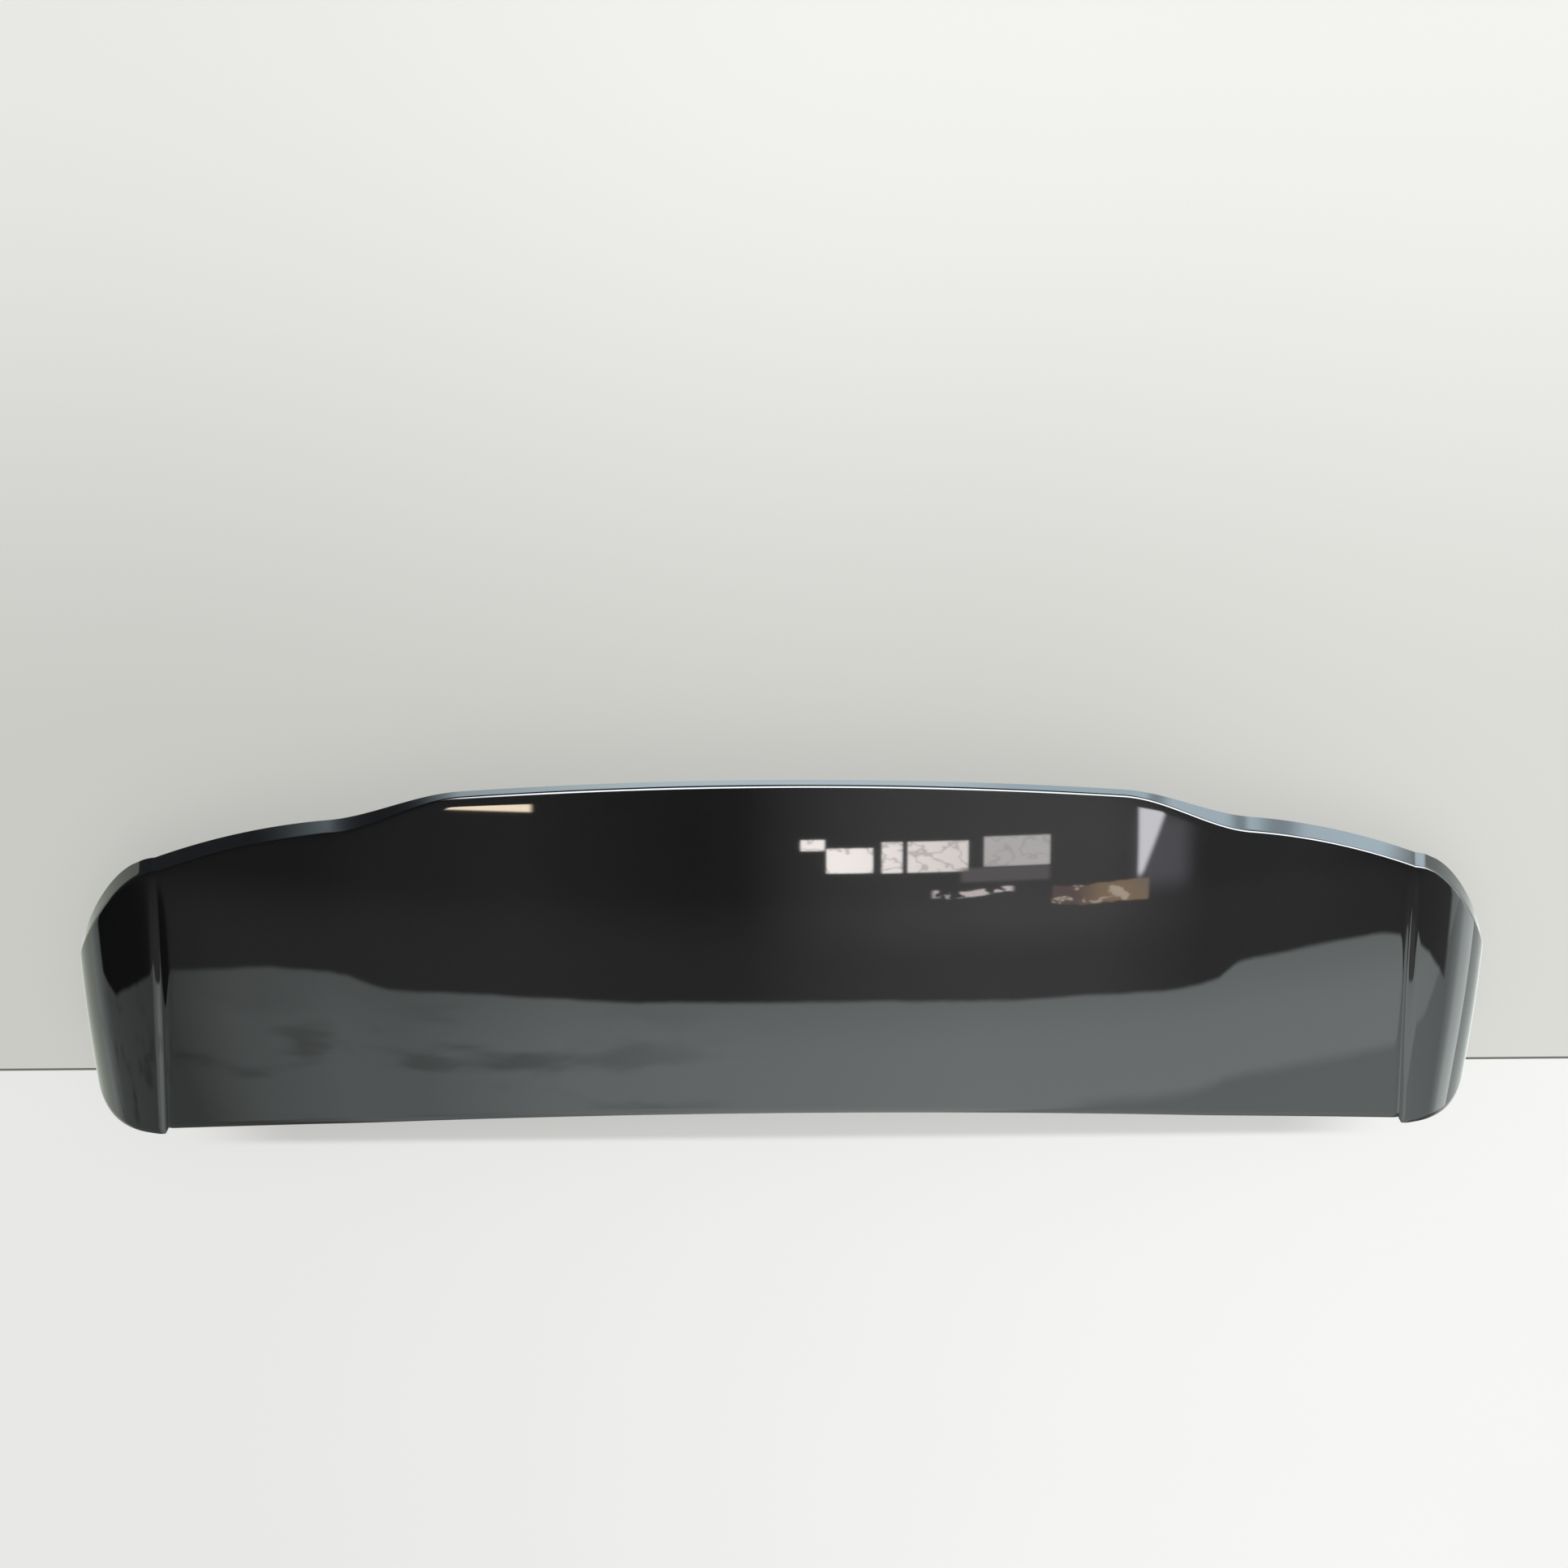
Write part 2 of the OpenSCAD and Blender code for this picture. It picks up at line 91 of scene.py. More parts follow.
class SkinSizes(bpy.types.PropertyGroup):
    """Sizes of the painted outer skin."""

    overall_w: length("Overall width", "Distance across both ends",
                      SKIN_HIGH.x - SKIN_LOW.x)
    lead_h: length("Leading edge height", "Height of the leading edge at the middle",
                   SKIN_HIGH.z)
    middle_len: length("Middle length", "Leading edge to crease, at the middle", 0.2892)
    skin_t: length("Wall", "Wall of the painted skin", 0.003)
    edge_r: length("Edge rounding", "Rounding of the free edges", 0.0008)
    crown_fall: length("Crown fall", "Fall of the crown half a metre out", 0.0295)
    slope_fall: length("Slope", "Fall over 100 mm at the leading edge", 0.0052)
    bend_fall: length("Bend", "Extra fall by bending, 100 mm back", 0.003)
    lead_bow: length("Leading bow", "Run of the leading edge half a metre out", 0.0305)
    trail_bow: length("Trailing bow", "Run of the crease half a metre out", 0.0396)
    shoulder_x: length("Shoulder place", "Half width of the raised centre", 0.275)
    shoulder_w: length("Shoulder width", "Width of each shoulder curve", 0.112)
    shoulder_step: length("Shoulder step", "Step of the crease over a shoulder", 0.022)
    wing_lap: length("Wing lap", "Where the wing's sweep starts in the shoulder", 0.002)
    wing_sweep: length("Wing sweep", "Sweep of the crease 100 mm into the wing", 0.0074)
    fold_x: length("Fold place", "Where the wing folds down", 0.374)
    fold_rate: length("Fold fall", "Fall over 100 mm beyond the fold", 0.003)
    fold_soft: length("Fold rounding", "Half length over which the fold is round", 0.01)
    rear_mid_h: length("Rear face, middle", "Its height at the middle", 0.006)
    rear_wing_h: length("Rear face, wings", "Its height at the wings", 0.0118)
    rear_mid_lean: length("Rear lean, middle", "Lean of the rear face, middle", 0.0048)
    rear_wing_lean: length("Rear lean, wings", "Lean of the rear face, wings", 0.0099)
    side_lean: length("Side lean", "Lean of the rear face at the side", 0.0035)
    crease_r: length("Crease rounding", "Rounding of the trailing crease", 0.002)
    ditch_x: length("Ditch place", "Middle to ditch at the leading edge", 0.556)
    ditch_in: length("Ditch run", "How far the ditch runs inwards", 0.017)
    ditch_d: length("Ditch depth", "Depth of the ditch", 0.0013)
    ditch_w: length("Ditch half width", "Half width of the ditch", 0.004)
    end_step: length("End step", "How far the end stands forward", 0.0065)
    edge_soft: length("Step width", "Width of the end step", 0.003)
    end_flare: length("End flare", "Inward sweep of the end, 100 mm back", 0.0026)
    flare_from_y: length("Flare start", "Where the end starts to sweep inwards", 0.022)
    side_front_y: length("Side front", "Front of the lower edge at the side", 0.02)
    side_back_y: length("Side back", "Back of the crease at the side", 0.103)
    corner_cut: length("Corner cut", "Sudden part of the crease's turn", 0.0245)
    run_from_x: length("Run start", "Where the surface starts to run in", 0.4)
    run_over: length("Run length", "Distance over which the run grows", 0.15)
    run_front: length("Run front", "Where the run starts, ahead of the edge", 0.042)
    run_len: length("Run depth", "Fore and aft distance of the run", 0.227)
    fade_from_y: length("Ditch fade", "Where the ditch starts to fade", 0.12)
    fade_len: length("Ditch fade length", "Distance over which it fades", 0.09)
    roll_power: bpy.props.FloatProperty(
        name="Roll power", description="Power of the round over an end", default=2.5)
    run_power: bpy.props.FloatProperty(
        name="Run power", description="Power of the inward run", default=1.45)
    lead_turn: bpy.props.FloatProperty(
        name="Front turn", description="Power of the front corner's turn", default=1.3)
    trail_turn: bpy.props.FloatProperty(
        name="Rear turn", description="Power of the rear corner's turn", default=2.95)


class StudSizes(bpy.types.PropertyGroup):
    """Sizes of the studs; radii are parts of the collar's."""

    above: length("Above the collar", "From the collar's top to the stud's top", 0.006)
    collar_t: length("Collar", "Thickness of the collar", 0.0016)
    nose: length("Nose", "Length of the tapered nose, and its taper", 0.001)
    shank_part: factor("Shank", "Shank's radius as a part of the collar's", 0.45)
    thread_part: factor("Thread", "Thread's radius as a part of the collar's", 0.375)
    pitch: length("Pitch", "Distance from one thread turn to the next", 0.001)
    depth: length("Depth", "Depth of the thread", 0.0006)
    chamfer: length("Chamfer", "Chamfer of the collar's rim", 0.0003)


class Finishes(bpy.types.PropertyGroup):
    """Colours of the finishes, linear."""

    paint: colour("Paint", "Metallic base coat of the skin", (0.0018, 0.0019, 0.0021))
    flake: colour("Flake", "Lighter flakes in the base coat", (0.02, 0.022, 0.025))
    bare: colour("Bare plastic", "Unpainted inside of the skin", (0.03, 0.03, 0.031))
    moulded: colour("Moulded black", "Inner panel's plastic", (0.017, 0.017, 0.018))
    rubber: colour("Rubber", "Lip and foam rings", (0.022, 0.022, 0.023))
    glue: colour("Adhesive", "Bond beads", (0.035, 0.035, 0.037))
    steel: colour("Plated steel", "Studs", (0.62, 0.61, 0.58))
    nylon: colour("Nylon", "Push-in clips", (0.62, 0.6, 0.52))


class StageLook(bpy.types.PropertyGroup):
    """Floor, backdrop and light."""

    near_wall: colour("Backdrop, near", "Just behind the part", (0.665, 0.67, 0.635))
    far_wall: colour("Backdrop, far", "Far behind the part", (0.905, 0.905, 0.885))
    floor: colour("Floor", "Floor before the leading edge", (0.93, 0.935, 0.92))
    joint: colour("Joint", "Thin joint between the two", (0.1, 0.09, 0.08))
    soil: colour("Soil", "Faint soil on both", (0.5, 0.5, 0.47))
    gloss: colour("In gloss", "Sheets near the part, as gloss sees them",
                  (0.5, 0.52, 0.51))
    gloss_left: colour("In gloss, left", "The same far to the left", (0.95, 1.02, 0.9))
    gloss_right: colour("In gloss, right", "The same far to the right",
                        (1.35, 1.45, 1.42))
    seam_y: length("Seam", "Place of the joint between the two", -0.1529)
    joint_w: length("Joint width", "Width of the joint", 0.0024)
    reach: length("Reach", "Half width of the floor", 12.0)
    # Painted shade: how much the floor's tone is dimmed under the leading edge.
    shade: factor("Shade", "How dark the band under the leading edge is", 0.17)
    fill: factor("Fill", "Part of the floor's tone that shadows don't reach", 0.72)
    light: bpy.props.FloatProperty(name="Light", description="Level of the soft light",
                                   default=1.0, min=0)


class Value:
    """A shader socket that answers to plain maths with Math nodes."""

    def __init__(self, graph, socket):
        self.graph, self.socket = graph, socket

    def math(self, operation, *inputs):
        """A Math node of this operation on these inputs."""
        return self.graph.value("ShaderNodeMath", {"operation": operation},
                                dict(enumerate(inputs)))

    def __add__(self, other):
        return self.math("ADD", self, other)

    def __radd__(self, other):
        return self.math("ADD", other, self)

    def __sub__(self, other):
        return self.math("SUBTRACT", self, other)

    def __rsub__(self, other):
        return self.math("SUBTRACT", other, self)

    def __mul__(self, other):
        return self.math("MULTIPLY", self, other)

    def __rmul__(self, other):
        return self.math("MULTIPLY", other, self)

    def __truediv__(self, other):
        return self.math("DIVIDE", self, other)

    def __rtruediv__(self, other):
        return self.math("DIVIDE", other, self)

    def __neg__(self):
        return self.math("MULTIPLY", self, -1.0)

    def arctan2(self, other):
        """Angle in radians whose tangent is this value over the other."""
        return self.math("ARCTAN2", self, other)

    def arcsin(self):
        """Angle in radians whose sine is this value."""
        return self.math("ARCSINE", self)

    def ramp(self, low, high):
        """0 below low, 1 above high, with an even step between them."""
        return self.graph.value("ShaderNodeMapRange",
                                {"interpolation_type": "SMOOTHSTEP"},
                                {"Value": self, "From Min": low, "From Max": high})

    def between(self, low, high, soft):
        """1 from low to high and 0 outside, each side blurred by soft either way."""
        past = self.ramp(high - soft, high + soft)
        return self.ramp(low - soft, low + soft) * (1 - past)


def fill_ramp(ramp, stops):
    """Gives a colour ramp its stops, each a place from 0 to 1 and a colour."""
    while len(ramp.elements) < len(stops):
        ramp.elements.new(1.0)
    for mark, (place, tone) in zip(ramp.elements, stops):
        mark.position, mark.color = place, (*tone, 1.0)


class Graph:
    """One node tree, filled by node() and by maths on Values."""

    def __init__(self, owner):
        owner.use_nodes = True
        self.tree = owner.node_tree
        self.tree.nodes.clear()

    def node(self, kind, settings=None, inputs=None):
        """Adds a node: its settings first, then the values or links of its sockets."""
        node = self.tree.nodes.new(kind)
        for key, setting in (settings or {}).items():
            if key == "stops":
                fill_ramp(node.color_ramp, setting)
            else:
                setattr(node, key, setting)
        for key, given in (inputs or {}).items():
            socket = node.inputs[key]
            if isinstance(given, Value):
                self.tree.links.new(given.socket, socket)
            elif hasattr(given, "__len__") and len(given) < len(socket.default_value):
                socket.default_value = (*given, 1.0)
            else:
                socket.default_value = given
        return node

    def value(self, kind, settings=None, inputs=None, output=0):
        """One output of a new node as a Value."""
        return Value(self, self.node(kind, settings, inputs).outputs[output])

    def parts(self, vector):
        """The x, y and z of a vector."""
        split = self.node("ShaderNodeSeparateXYZ", None, {0: vector})
        return [Value(self, socket) for socket in split.outputs]

    def vector(self, operation, first, second):
        """Vector maths, or colour maths, on two vectors."""
        return self.value("ShaderNodeVectorMath", {"operation": operation},
                          {0: first, 1: second})

    def dim(self, tone, part):
        """A colour times a number."""
        return self.value("ShaderNodeVectorMath", {"operation": "SCALE"},
                          {0: tone, "Scale": part})

    def mix(self, part, first, second):
        """Colour first where part is 0, second where it is 1."""
        return self.value("ShaderNodeMix", {"data_type": "RGBA"},
                          {0: part, 6: first, 7: second}, 2)

    def blend(self, part, first, second):
        """Shader first where part is 0, second where it is 1."""
        return self.value("ShaderNodeMixShader", None, {0: part, 1: first, 2: second})

    def by_stops(self, value, stops, low, high):
        """Colour or level that runs straight between its stops, from low to high."""
        marks = [((place - low) / (high - low), np.broadcast_to(tone, 3))
                 for place, tone in stops]
        return self.value("ShaderNodeValToRGB", {"stops": marks},
                          {"Fac": (value - low) / (high - low)})

    def noise(self, place, scale, detail=2.0, rough=0.5, squash=(1, 1, 1)):
        """Noise from 0 to 1 at so many waves a metre, squashed along the axes."""
        return self.value("ShaderNodeTexNoise", None,
                          {"Vector": self.vector("MULTIPLY", place, squash),
                           "Scale": scale, "Detail": detail, "Roughness": rough})

    def ray(self, kind):
        """1 for one kind of ray, such as Is Camera Ray, and 0 for all others."""
        return self.value("ShaderNodeLightPath", output=kind)


def new_material(name):
    """A material with its graph and the piece's own coordinates."""
    material = bpy.data.materials.new(name)
    graph = Graph(material)
    place = graph.value("ShaderNodeTexCoord", output="Object")
    return material, graph, place


def surface(graph, **inputs):
    """Joins a Principled surface with these inputs to the material's output."""
    names = {key.replace("_", " "): given for key, given in inputs.items()}
    shader = graph.value("ShaderNodeBsdfPrincipled", None, names)
    graph.node("ShaderNodeOutputMaterial", None, {"Surface": shader})


def bump(graph, height, distance, strength=1.0):
    """A bump normal from a height from 0 to 1, of a real depth in metres."""
    return graph.value("ShaderNodeBump", None,
                       {"Height": height, "Distance": distance, "Strength": strength})


def scaled(tone, part):
    """A written colour made darker or lighter."""
    return [c * part for c in tone]


def metallic_paint(looks):
    """Dark metallic base coat with fine flakes under a clear coat."""
    material, graph, place = new_material("dark_metallic_paint")
    grain = graph.noise(place, 2600, detail=1.0)
    flakes = graph.noise(place, 5200, detail=0.0).ramp(0.6, 0.75)
    cloud = graph.noise(place, 9, detail=3.0)
    dust = graph.noise(place, 900, rough=0.7).ramp(0.66, 0.78)
    base = graph.mix(cloud * 0.3, looks.paint, scaled(looks.paint, 0.8))
    tone = graph.mix(flakes * 0.5, base, looks.flake)
    surface(graph, Base_Color=tone, Metallic=flakes * 0.8,
            Roughness=0.36 + 0.08 * grain, Specular_IOR_Level=0.0,
            Coat_Weight=1.0 - dust * 0.12, Coat_Roughness=0.02, Coat_IOR=1.7,
            Normal=bump(graph, grain, 0.00002, strength=0.5))
    return material


def bare_plastic(looks):
    """Unpainted inner side of the skin, with a breath of overspray."""
    material, graph, place = new_material("bare_skin_plastic")
    spray = graph.noise(place, 60, detail=4.0).ramp(0.45, 0.8)
    tone = graph.mix(spray * 0.4, looks.bare, looks.paint)
    surface(graph, Base_Color=tone, Roughness=0.5 + 0.2 * spray,
            Normal=bump(graph, graph.noise(place, 700), 0.00003))
    return material


def moulded_plastic(looks):
    """Grained black plastic of the inner panel."""
    material, graph, place = new_material("grained_black_plastic")
    cells = graph.value("ShaderNodeTexVoronoi", {"feature": "SMOOTH_F1"},
                        {"Vector": place, "Scale": 900.0, "Smoothness": 0.4})
    cloud = graph.noise(place, 14, detail=3.0)
    tone = graph.mix(cloud, scaled(looks.moulded, 0.75), scaled(looks.moulded, 1.4))
    surface(graph, Base_Color=tone, Roughness=0.55 + 0.12 * cloud,
            Normal=bump(graph, cells, 0.00005, strength=0.6))
    return material


def soft_rubber(looks):
    """Closed foam rubber with fine pores."""
    material, graph, place = new_material("foam_rubber")
    pores = graph.value("ShaderNodeTexVoronoi", None,
                        {"Vector": place, "Scale": 1500.0})
    cloud = graph.noise(place, 40, detail=3.0)
    tone = graph.mix(cloud, scaled(looks.rubber, 0.7), scaled(looks.rubber, 1.5))
    surface(graph, Base_Color=tone, Roughness=0.85, Specular_IOR_Level=0.3,
            Normal=bump(graph, pores, 0.00015, strength=0.7))
    return material


def adhesive(looks):
    """Cured adhesive, smooth with slow waves."""
    material, graph, place = new_material("cured_adhesive")
    waves = graph.noise(place, 120, detail=3.0)
    tone = graph.mix(waves, looks.glue, scaled(looks.glue, 1.3))
    surface(graph, Base_Color=tone, Roughness=0.4 + 0.15 * waves,
            Normal=bump(graph, waves, 0.0003, strength=0.6))
    return material


def plated_steel(looks):
    """Zinc-plated steel with fine streaks round the stud and dull patches."""
    material, graph, place = new_material("zinc_plated_steel")
    streaks = graph.noise(place, 500, squash=(1, 1, 9))
    dull = graph.noise(place, 90, detail=3.0).ramp(0.45, 0.7)
    tone = graph.mix(dull, looks.steel, scaled(looks.steel, 0.72))
    surface(graph, Base_Color=tone, Metallic=1.0, Roughness=0.24 + 0.14 * dull,
            Normal=bump(graph, streaks, 0.00002, strength=0.5))
    return material


def clip_nylon(looks):
    """Translucent pale nylon."""
    material, graph, place = new_material("natural_nylon")
    cloud = graph.noise(place, 70, detail=3.0)
    tone = graph.mix(cloud, looks.nylon, scaled(looks.nylon, 0.86))
    surface(graph, Base_Color=tone, Roughness=0.38 + 0.1 * cloud,
            Subsurface_Weight=0.15, Subsurface_Scale=0.002)
    return material


def ease(t):
    """An even step from 0 to 1: 3 t squared less 2 t cubed, held outside."""
    c = np.clip(t, 0, 1)
    return c * c * (3 - 2 * c)


def unit(v):
    """Vectors of length 1 along the last axis."""
    return v / np.linalg.norm(v, axis=-1, keepdims=True)


def grid_quads(rows, columns):
    """Quads of a grid numbered row by row, each row closed into a ring."""
    i = np.arange(rows - 1)[:, None]
    j = np.arange(columns)[None, :]
    i2, j2 = i + 1, (j + 1) % columns
    quads = [i * columns + j, i2 * columns + j, i2 * columns + j2, i * columns + j2]
    return np.stack(np.broadcast_arrays(*quads), -1).reshape(-1, 4)


def mesh_object(name, points, quads, materials, triangles=None, slots=None, sharp=40):
    """A mesh object at the origin from arrays of points, quads and triangles."""
    tris = np.zeros((0, 3), int) if triangles is None else np.asarray(triangles)
    loops = np.concatenate([quads.ravel(), tris.ravel()]).astype(np.int32)
    sizes = np.concatenate([np.full(len(quads), 4), np.full(len(tris), 3)])
    mesh = bpy.data.meshes.new(name)
    mesh.vertices.add(len(points))
    mesh.vertices.foreach_set("co", points.astype(np.float32).ravel())
    mesh.loops.add(len(loops))
    mesh.loops.foreach_set("vertex_index", loops)
    mesh.polygons.add(len(sizes))
    starts = np.concatenate([[0], np.cumsum(sizes)[:-1]]).astype(np.int32)
    mesh.polygons.foreach_set("loop_start", starts)
    mesh.polygons.foreach_set("use_smooth", np.ones(len(sizes), bool))
    for material in materials:
        mesh.materials.append(material)
    if slots is not None:
        mesh.polygons.foreach_set("material_index", slots.astype(np.int32))
    mesh.update(calc_edges=True)
    mesh.validate()
    mesh.set_sharp_from_angle(angle=math.radians(sharp))
    piece = bpy.data.objects.new(name, mesh)
    bpy.context.scene.collection.objects.link(piece)
    return piece


def replace_node(piece, node):
    """Rides a finished piece on the one body in place of a CAD node."""
    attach(piece, "root")
    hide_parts(node)


def dress(names, material):
    """Gives carried-over CAD nodes one material in all their slots."""
    for name in names:
        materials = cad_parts[name].data.materials
        for k in range(len(materials)):
            materials[k] = material


class SkinShape:
    """The painted surface as formulas of x from the middle and y from the edge."""

    top_rows, crease_rows, face_rows = 50, 9, 9
    column_counts = (66, 60, 42, 37, 52)  # middle, shoulder, wing, ditch and end
    ditch_span = (-3, 2.4)  # close columns over the ditch, in its half widths
    first_turn = 0.15  # turn of the end from which its own columns start
    margin = 0.012  # close columns reach this far past a shoulder
    stretch = 0.004  # half the stretch that gives the crease's direction
    side_gap = 0.0004  # keeps that stretch off the very side
    most_round = 0.4  # most of the rear face that the crease's rounding takes
    most_level = 0.42  # most of it that an inset sheet stops short
    least_h = 0.0001  # least height of the rear face in a division

    def __init__(self, sizes):
        self.s = sizes
        self.half_w = sizes.overall_w / 2
        self.roll_w = self.half_w - sizes.ditch_x
        self.wing_x = sizes.shoulder_x + sizes.shoulder_w - sizes.wing_lap

    def crown(self, x, y):
        """Height: the edge height less slope, bend, crown and fold falls."""
        s = self.s
        fold = s.fold_rate / RATE_LEN * s.fold_soft * np.log1p(
            np.exp((x - s.fold_x) / s.fold_soft))
        slope = s.slope_fall * y / RATE_LEN + s.bend_fall * (y / RATE_LEN) ** 2
        return s.lead_h - slope - s.crown_fall * (x / BOW_LEN) ** 2 - fold

    def end_part(self, x):
        """0 at the ditch, 1 at the side."""
        return np.clip((x - self.s.ditch_x) / self.roll_w, 0, 1)

    def end_cos(self, x):
        """Falls from 1 to 0 over the end, as the roll turns."""
        return np.sqrt(np.clip(1 - self.end_part(x) ** self.s.roll_power, 0, None))

    def lead_y(self, x):
        """Leading edge: a bow, a small step at the ditch, a turn into the side."""
        s = self.s
        bow = -s.lead_bow * (np.minimum(x, s.ditch_x) / BOW_LEN) ** 2
        edge = bow - s.end_step * ease((x - s.ditch_x) / s.edge_soft + 0.5)
        return edge + (s.side_front_y - edge) * (1 - self.end_cos(x)) ** s.lead_turn

    def trail_y(self, x):
        """Crease: a bow, a step over each shoulder, a swept wing, a turned corner."""
        s = self.s
        run = s.ditch_in * ease((x - s.run_from_x) / s.run_over)
        c = np.minimum(x, s.ditch_x) - run
        edge = (s.middle_len - s.trail_bow * (c / BOW_LEN) ** 2
                - s.shoulder_step * ease((c - s.shoulder_x) / s.shoulder_w)
                - s.wing_sweep * (np.maximum(0, c - self.wing_x) / RATE_LEN) ** 2)
        cut = s.corner_cut * self.end_part(x) ** (s.roll_power / 2)
        turned = 1 - self.end_cos(x) ** s.trail_turn
        return edge - cut - (edge - s.corner_cut - s.side_back_y) * turned

    def over(self, x, y):
        """A point of the surface: x runs in to the rear and z rolls over the end."""
        s = self.s
        past = ease((x - s.ditch_x) / self.roll_w)
        back = np.clip((y + s.run_front) / s.run_len, 0, 1)
        run = (s.ditch_in * (1 - (1 - back) ** s.run_power)
               * ease((x - s.run_from_x) / s.run_over) * (1 - past))
        flare = s.end_flare * (np.maximum(0, y - s.flare_from_y) / RATE_LEN) ** 2 * past
        groove = (s.ditch_d * np.exp(-((x - s.ditch_x) / s.ditch_w) ** 2)
                  * (1 - ease((y - s.fade_from_y) / s.fade_len)))
        rest = np.clip(1 - self.end_part(x) ** s.roll_power, 0, None)
        drop = self.crown(self.half_w, y) * (1 - rest ** (1 / s.roll_power))
        z = self.crown(x - run, y) - drop - groove
        return np.stack([x - run - flare, y + 0 * x, z], -1)

    def top(self, x, q):
        """The surface at part q of the way from leading edge to crease."""
        front = self.lead_y(x)
        return self.over(x, front + q * (self.trail_y(x) - front))

    def crease(self, x):
        """The surface at its trailing edge."""
        return self.over(x, self.trail_y(x))

    def rear_way(self, x):
        """Down the rear face: square to the crease in plan and leaning back."""
        s = self.s
        a = np.minimum(x + self.stretch, self.half_w)
        b = np.minimum(np.maximum(x - self.stretch, 0), self.half_w - self.side_gap)
        along = unit(self.crease(a) - self.crease(b))
        along[x < self.stretch] = (1, 0, 0)
        wing = ease((x - s.shoulder_x) / s.shoulder_w)
        lean = s.rear_mid_lean + (s.rear_wing_lean - s.rear_mid_lean) * wing
        tall = s.rear_mid_h + (s.rear_wing_h - s.rear_mid_h) * wing
        flat = unit(np.stack([-along[..., 1], along[..., 0]], -1))
        side = self.end_part(x) ** 2
        return np.stack([flat[..., 0] * lean * (1 - side),
                         flat[..., 1] * lean * (1 - side) + s.side_lean * side,
                         -np.minimum(tall, self.crease(x)[..., 2])], -1)

    def columns(self):
        """Places from the middle to the side, close together where the form turns."""
        s = self.s
        shoulder = s.shoulder_x - self.margin
        wing = self.wing_x + self.margin
        before, past = self.ditch_span
        middle_n, shoulder_n, wing_n, ditch_n, end_n = self.column_counts
        turn = np.linspace(0, np.pi / 2, end_n)
        turn = turn[turn > self.first_turn]
        return np.unique(np.concatenate([
            np.linspace(0, shoulder, middle_n),
            np.linspace(shoulder, wing, shoulder_n),
            np.linspace(wing, s.ditch_x + before * s.ditch_w, wing_n),
            s.ditch_x + s.ditch_w * np.linspace(before, past, ditch_n),
            s.ditch_x + self.roll_w * np.sin(turn) ** (2 / s.roll_power)]))

    def sheet(self, x, inset, turn_r, edge):
        """Rows of one side of the wall, inset from the painted side.

        Each column runs from the leading edge to turn_r short of the crease, round
        a quadratic curve whose corner is the crease's mitre, and down the rear face.
        The rows stop an edge's rounding short of the free edges, and an inset
        sheet stops sooner down the rear face, so that the lower edge is level.
        """
        q = np.linspace(0, 1, self.top_rows)
        t = np.linspace(0, 1, self.face_rows)
        deep = self.trail_y(x) - self.lead_y(x)
        way = self.rear_way(x)
        tall = np.linalg.norm(way, axis=-1)
        first, last = edge / deep, 1 - turn_r / deep
        qs = first[:, None] + q[None, :] * (last - first)[:, None]
        grid = self.top(x[:, None], qs)
        square = unit(np.cross(np.gradient(self.crease(x), axis=0), way))
        level = inset * square[:, 2] / np.maximum(-way[:, 2], self.least_h)
        down = np.minimum(self.most_round, turn_r / tall)
        stop = 1 - edge / tall - np.clip(level, 0, self.most_level)
        ts = down[:, None] + t[None, :] * (stop - down)[:, None]
        face = self.crease(x)[:, None] + way[:, None] * ts[..., None]
        up = unit(np.cross(np.gradient(grid, axis=0), np.gradient(grid, axis=1)))
        out = unit(np.cross(np.gradient(face, axis=0), np.gradient(face, axis=1)))
        for normal in (up, out):
            normal[0, :, 0] = 0
            normal[-1] = (1, 0, 0)
        a, b = up[:, -1], out[:, 0]
        corner = self.crease(x) - inset * (a + b) / (1 + (a * b).sum(-1, keepdims=True))
        corner[-1] = (grid[-1, -1] + face[-1, 0]) / 2 - (inset, 0, 0)
        grid = grid - inset * up
        face = face - inset * out
        k = np.linspace(0, 1, self.crease_rows)[1:-1][None, :, None]
        bend = (grid[:, -1:] * (1 - k) ** 2 + corner[:, None] * 2 * k * (1 - k)
                + face[:, :1] * k ** 2)
        return np.concatenate([grid, bend, face], axis=1)


def rounded_edge(outer, inner, out, size):
    """Three rows round a free edge: a half ellipse from outer to inner."""
    turn = np.linspace(0, np.pi, 5)[1:-1][None, :, None]
    middle, half = (outer + inner)[:, None] / 2, (outer - inner)[:, None] / 2
    return middle + half * np.cos(turn) + out[:, None] * size * np.sin(turn)


